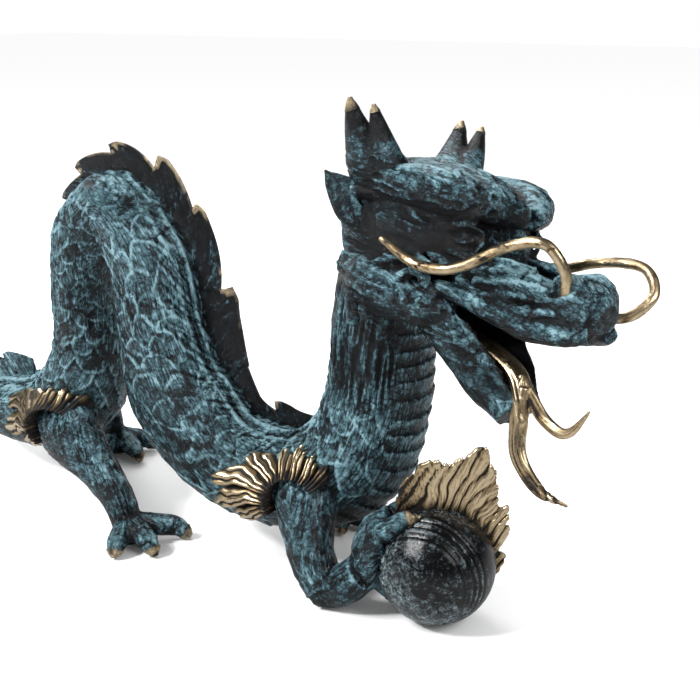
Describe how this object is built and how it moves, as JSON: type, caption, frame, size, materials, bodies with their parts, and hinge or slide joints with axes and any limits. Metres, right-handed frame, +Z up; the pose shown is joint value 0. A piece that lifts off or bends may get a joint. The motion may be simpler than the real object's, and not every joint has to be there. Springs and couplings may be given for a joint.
{
  "type": "dragon sculpture",
  "caption": "Cast bronze eastern dragon in a rearing coil, toothed crest, flame-frilled legs, forked tongue, long whiskers and a flaming pearl held in its forepaw.",
  "frame": {"origin": "on the floor under the middle of the whole figure, where its paws and the pearl stand", "axes": "+X the way the dragon walks, from tail to muzzle; +Y its left; +Z up"},
  "size_m": [0.4961, 0.1314, 0.2472],
  "materials": {
    "verdigris_bronze": "black-brown bronze under mottled blue-green verdigris, brushed, satin",
    "pearl_bronze": "dark waxed bronze with thin blue-green patina, satin gloss",
    "polished_brass": "polished brass with dark wax left in the grooves"
  },
  "bodies": {
    "root": {"dragon": "verdigris_bronze", "flaming_pearl": "pearl_bronze", "right_whisker": "polished_brass", "left_whisker": "polished_brass", "forked_tongue": "polished_brass"}
  },
  "joints": []
}
